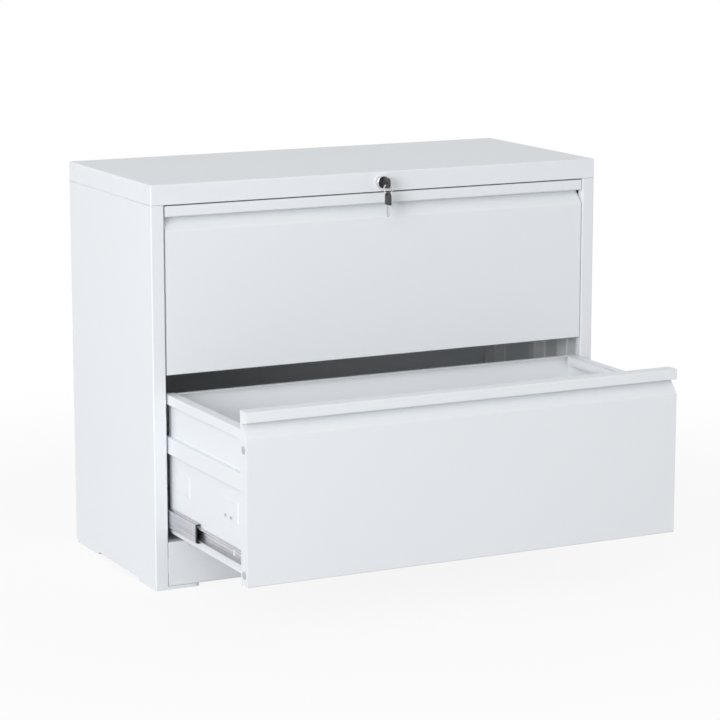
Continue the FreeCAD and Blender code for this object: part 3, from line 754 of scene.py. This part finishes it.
@dataclass(frozen=True)
class SlidePair:
    """The two ball slides of one drawer, each of three rails, with their cages, balls and end stops."""

    tier: Tier
    rails: tuple[str, ...] = ("outer", "middle", "inner")
    stages: tuple[str, ...] = ("outer", "inner")

    def dress(self, dresser: Dresser) -> None:
        """Plate the rails and cages, and finish the balls and stops.

        Args:
            dresser: gives the finishes.
        """
        name = self.tier.value
        for hand in Hand:
            dresser.nodes(Slot.ZINC_RAIL, *(f"{name}_{hand.value}_{rail}_rail" for rail in self.rails))
        for stage in self.stages:
            dresser.nodes(Slot.ZINC_PLATE, f"{name}_{stage}_cages")
            dresser.nodes(Slot.STEEL_BALL, f"{name}_{stage}_balls")
        dresser.nodes(Slot.BLACK_PLASTIC, f"{name}_slide_bumpers")


@dataclass(frozen=True)
class Lock:
    """The cam lock and its bar, with a black ring round the core in front of the chrome housing that is
    painted reflection: it stands for dark surroundings mirrored in the chrome face.
    """

    reflection_ring_inner: float = 7.7 * MM
    reflection_ring_outer: float = 10.9 * MM
    reflection_ring_rise: float = 0.9 * MM
    reflection_ring_edge: float = 0.35 * MM
    reflection_ring_steps: int = 64

    def dress(self, dresser: Dresser) -> None:
        """Plate the housing, the core and what they move.

        Args:
            dresser: gives the finishes.
        """
        dresser.nodes(Slot.LOCK_CHROME, "lock_barrel")
        # The core's darker nickel is painted reflection.
        dresser.nodes(Slot.LOCK_FACE, "lock_plug")
        dresser.nodes(Slot.ZINC_PLATE, "lock_nut", "lock_bar_pins", "lock_bar_guide", "lock_cam", "lock_bar")

    def build(self, dresser: Dresser) -> None:
        """Model the black ring on the front of the housing, painted reflection standing for dark surroundings
        mirrored in the chrome face.

        Args:
            dresser: gives the finish.
        """
        low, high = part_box("lock_barrel")
        centre = Vector(((low.x + high.x) / 2, low.y, (low.z + high.z) / 2))
        front = -self.reflection_ring_rise
        edge = self.reflection_ring_edge
        shape = bmesh.new()
        add_spun(shape, [
            (self.reflection_ring_inner, 0.0),
            (self.reflection_ring_inner, front + edge),
            (self.reflection_ring_inner + edge, front),
            (self.reflection_ring_outer - edge, front),
            (self.reflection_ring_outer, front + edge),
            (self.reflection_ring_outer, 0.0),
        ], centre, self.reflection_ring_steps)
        # The ring's black moulding is painted reflection and shade on the chrome face.
        dresser.piece(new_piece("lock_painted_reflection_ring", shape), Slot.BLACK_PLASTIC, "case")


@dataclass(frozen=True)
class SplitRing:
    """The sprung wire ring of two turns that carries the spare key."""

    wire_width: float = 1.5 * MM
    wire_pitch: float = 0.8 * MM
    wire_fill: float = 0.92
    turns: float = 1.94
    steps_per_turn: int = 56
    smooth_angle: float = 50.0

    def build(self, dresser: Dresser) -> None:
        """Coil the wire about the ring's middle, with a hair's gap between its turns.

        Args:
            dresser: gives the finish.
        """
        low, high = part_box("key_ring")
        centre = (low + high) / 2
        half = self.wire_width / 2
        radius = (high.x - low.x) / 2 - half
        rise = self.wire_pitch * self.turns
        start = centre + Vector((0.0, -rise / 2 - self.wire_pitch / 2, radius))
        thickness = self.wire_pitch * self.wire_fill
        section = ((0.0, -half), (0.0, half), (thickness, half), (thickness, -half))
        shape = bmesh.new()
        corners = [shape.verts.new(start + Vector((0.0, along, across))) for along, across in section]
        steps = int(self.turns * self.steps_per_turn)
        bmesh.ops.spin(shape, geom=[shape.faces.new(corners)], cent=centre, axis=(0.0, 1.0, 0.0),
                       dvec=(0.0, rise / steps, 0.0), angle=math.tau * self.turns, steps=steps,
                       use_merge=False, use_duplicate=False)
        ring = new_piece("key_split_ring", shape, self.smooth_angle)
        dresser.piece(ring, Slot.KEY_NICKEL, "key_ring")
        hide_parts("key_ring")


@dataclass(frozen=True)
class GripRibs:
    """Raised ribs across both faces of a key's bow, between its ring hole and its blade."""

    count: int = 4
    pitch: float = 2.6 * MM
    width: float = 1.3 * MM
    rise: float = 0.5 * MM
    edge_share: float = 0.7
    margin: float = 3.2 * MM
    end_gap: float = 1.2 * MM

    def build(self, shape: bmesh.types.BMesh, low: Vector, high: Vector, along: int, blade: float) -> None:
        """Add the ribs of one bow to a bmesh.

        Args:
            shape: the bmesh.
            low: the bow's lowest corner.
            high: the bow's highest corner.
            along: the axis from the ring hole to the blade, 1 or 2.
            blade: the bow's end at the blade, along that axis.
        """
        across = 3 - along
        middle = (low + high) / 2
        inward = math.copysign(1.0, middle[along] - blade)
        reach = Vector((self.rise, self.width / 2, self.width / 2))
        reach[across] = (high[across] - low[across]) / 2 - self.margin
        for face in (low.x, high.x):
            for index in range(self.count):
                centre = Vector((face, middle.y, middle.z))
                centre[along] = blade + inward * (self.end_gap + self.pitch * (index + 0.5))
                add_block(shape, centre - reach, centre + reach, self.rise * self.edge_share)


@dataclass(frozen=True)
class WorkingKey:
    """The key in the lock, whose bow gets its moulded ribs."""

    ribs: GripRibs = GripRibs()

    def dress(self, dresser: Dresser) -> None:
        """Finish the bow, the blade and the ring."""
        dresser.nodes(Slot.KEY_GRIP, "key_bow")
        dresser.nodes(Slot.KEY_NICKEL, "key_blade", "key_ring")

    def build(self, dresser: Dresser) -> None:
        """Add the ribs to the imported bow.

        Args:
            dresser: gives the finish.
        """
        low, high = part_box("key_bow")
        shape = bmesh.new()
        self.ribs.build(shape, low, high, 1, high.y)
        dresser.piece(new_piece("key_bow_ribs", shape), Slot.KEY_GRIP, "key")


@dataclass(frozen=True)
class HangingKey:
    """The spare key that hangs on the ring."""

    ring: SplitRing
    bow_length: float = 24.0 * MM
    bow_width: float = 19.0 * MM
    bow_thickness: float = 4.5 * MM
    bow_edge: float = 0.7 * MM
    arch_steps: int = 45
    sharp_angle: float = 60.0
    hole_radius: float = 2.75 * MM
    hole_inset: float = 5.0 * MM
    hole_steps: int = 48
    blade_length: float = 22.0 * MM
    blade_width: float = 8.4 * MM
    blade_thickness: float = 2.2 * MM
    blade_notch: float = 1.6 * MM
    blade_runs: int = 8
    ribs: GripRibs = GripRibs()

    def build(self, dresser: Dresser) -> None:
        """Model the bow and the blade below the ring.

        Args:
            dresser: gives the finishes.
        """
        low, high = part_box("key_ring")
        hole = Vector((0.0, (low.y + high.y) / 2, low.z + self.ring.wire_width - self.hole_radius))
        top = hole.z + self.hole_inset
        bottom = top - self.bow_length
        self.bow(dresser, hole, top, bottom)
        self.blade(dresser, hole.y, bottom)

    @staticmethod
    def arc(middle: Pair, radius: float, turn: float, steps: int) -> list[Pair]:
        """Give points along an arc that starts where it is furthest back along Y.

        Args:
            middle: the arc's middle along Y and Z.
            radius: its radius.
            turn: how far it goes round, in radians.
            steps: how many steps it takes.

        Returns:
            The points, with both ends.
        """
        y, z = middle
        angles = [turn * step / steps for step in range(steps + 1)]
        return [(y + radius * math.cos(angle), z + radius * math.sin(angle)) for angle in angles]

    def bow(self, dresser: Dresser, hole: Vector, top: float, bottom: float) -> None:
        """Model the plastic bow: an arch-topped plate with the ring's hole.

        Args:
            dresser: gives the finish.
            hole: the hole's middle.
            top: the bow's highest point.
            bottom: the bow's lower edge.
        """
        half = self.bow_width / 2
        side = -self.bow_thickness / 2
        arch = self.arc((hole.y, top - half), half, math.pi, self.arch_steps)
        outline = arch + [(hole.y - half, bottom), (hole.y + half, bottom)]
        rim = self.arc((hole.y, hole.z), self.hole_radius, math.tau, self.hole_steps)[:-1]
        shape = bmesh.new()
        edges = []
        for loop in (outline, rim):
            edges += close_loop(shape, [shape.verts.new((side, y, z)) for y, z in loop])
        filled = bmesh.ops.triangle_fill(shape, use_beauty=True, use_dissolve=False, edges=edges)["geom"]
        thicken(shape, [item for item in filled if isinstance(item, bmesh.types.BMFace)], self.bow_thickness)
        sharp = math.radians(self.sharp_angle)
        soften(shape, [edge for edge in shape.edges if edge.calc_face_angle(0.0) > sharp], self.bow_edge)
        low = Vector((side, hole.y - half, bottom))
        high = Vector((-side, hole.y + half, top))
        self.ribs.build(shape, low, high, 2, bottom)
        dresser.piece(new_piece("hanging_key_bow", shape), Slot.KEY_GRIP, "key_ring")

    def blade(self, dresser: Dresser, middle: float, top: float) -> None:
        """Model the notched blade below the bow.

        Args:
            dresser: gives the finish.
            middle: the blade's middle along Y.
            top: the bow's lower edge.
        """
        half = self.blade_width / 2
        deep = half - self.blade_notch
        run = self.blade_length / self.blade_runs
        notches = [(half if step % 2 else deep, run * (step + 1)) for step in range(self.blade_runs - 2)]
        tip = [(0.0, self.blade_length), (-half, run * (self.blade_runs - 1))]
        outline = [(-half, 0.0), (half, 0.0)] + notches + tip
        shape = bmesh.new()
        verts = [shape.verts.new((-self.blade_thickness / 2, middle + y, top - z)) for y, z in outline]
        thicken(shape, [shape.faces.new(verts)], self.blade_thickness)
        dresser.piece(new_piece("hanging_key_blade", shape), Slot.KEY_NICKEL, "key_ring")


@dataclass(frozen=True)
class Lamp:
    """One square soft light."""

    name: str
    place: Point
    power: float
    size: float

    def hang(self, aim: Vector) -> None:
        """Hang the lamp at its place.

        Args:
            aim: the point that it is turned to.
        """
        lamp = bpy.data.lights.new(self.name, "AREA")
        lamp.energy = self.power
        lamp.size = self.size
        thing = bpy.data.objects.new(self.name, lamp)
        thing.location = self.place
        thing.rotation_euler = (aim - Vector(self.place)).to_track_quat("-Z", "Y").to_euler()
        bpy.context.scene.collection.objects.link(thing)


@dataclass(frozen=True)
class Studio:
    """White floor and background, soft light from the front left, a weaker one behind, and the camera."""

    camera_place: Point = (-2.2345, -4.5881, 1.3310)
    camera_yaw: float = 26.541
    camera_pitch: float = -10.901
    lens: float = 136.8
    sensor_width: float = 36.0
    floor_size: float = 60.0
    floor_colour: Colour = (0.7, 0.7, 0.7)
    floor_glow: float = 0.89
    glow_start: float = 0.75
    glow_end: float = 1.7
    sky: float = 0.58
    aim: Point = (0.0, -0.1, 0.38)
    lamps: tuple[Lamp, ...] = (
        Lamp("key_light", (-5.8, -5.2, 4.4), 242.0, 7.0),
        Lamp("low_light", (-6.3, -5.2, 1.75), 232.0, 3.2),
        Lamp("back_light", (3.6, 4.2, 6.5), 32.0, 4.0),
    )

    def build(self) -> None:
        """Set the floor, the light and the camera."""
        self.floor()
        self.world()
        for lamp in self.lamps:
            lamp.hang(Vector(self.aim))
        self.camera()
        bpy.context.scene.view_settings.view_transform = "Standard"

    def floor(self) -> None:
        """Lay a white floor that keeps a soft shadow, and that glows white further out."""
        shape = bmesh.new()
        bmesh.ops.create_grid(shape, x_segments=1, y_segments=1, size=self.floor_size / 2)
        thing = new_piece("studio_floor", shape)
        graph = Surface("white_floor")
        paint = graph.finish(Base_Color=self.floor_colour, Roughness=1.0, Specular_IOR_Level=0.0)
        thing.data.materials.append(paint)
        away = graph.node("ShaderNodeVectorMath", {"operation": "LENGTH"}, {0: graph.place()}, "Value")
        share = graph.node("ShaderNodeMapRange", {"interpolation_type": "SMOOTHSTEP"}, {
            "Value": away, "From Min": self.glow_start, "From Max": self.glow_end,
            "To Min": self.floor_glow, "To Max": 1.0})
        glow = graph.node("ShaderNodeEmission", {}, {"Color": WHITE, "Strength": 1.0})
        graph.show(Shade(graph, graph.shader.outputs["BSDF"]), glow, share)

    def world(self) -> None:
        """Light the room evenly, and show it white."""
        world = bpy.data.worlds.new("white_room")
        bpy.context.scene.world = world
        graph = Graph(world, "Background", "World Output")
        room = graph.node("ShaderNodeBackground", {}, {"Color": WHITE, "Strength": self.sky})
        backdrop = graph.node("ShaderNodeBackground", {}, {"Color": WHITE, "Strength": 1.0})
        graph.show(room, backdrop)

    def camera(self) -> None:
        """Stand the camera where the cabinet was seen from."""
        data = bpy.data.cameras.new("camera")
        data.lens = self.lens
        data.sensor_width = self.sensor_width
        thing = bpy.data.objects.new("camera", data)
        thing.location = self.camera_place
        thing.rotation_euler = (math.radians(90.0 + self.camera_pitch), 0.0, -math.radians(self.camera_yaw))
        bpy.context.scene.collection.objects.link(thing)
        bpy.context.scene.camera = thing


def main() -> None:
    """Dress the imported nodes, add the small pieces and set the studio."""
    logging.basicConfig(level=logging.INFO, format="%(name)s: %(message)s")
    dresser = Dresser(frame["nodes"])
    case = Case()
    case.dress(dresser)
    case.build(dresser)
    for tier in Tier:
        drawer = Drawer(tier)
        drawer.dress(dresser)
        drawer.build(dresser)
        SlidePair(tier).dress(dresser)
    lock = Lock()
    lock.dress(dresser)
    lock.build(dresser)
    key = WorkingKey()
    key.dress(dresser)
    key.build(dresser)
    ring = SplitRing()
    ring.build(dresser)
    HangingKey(ring).build(dresser)
    if dresser.bare:
        raise RuntimeError(f"nodes without a finish: {sorted(dresser.bare)}")
    Studio().build()


if __name__ == "__main__":
    main()
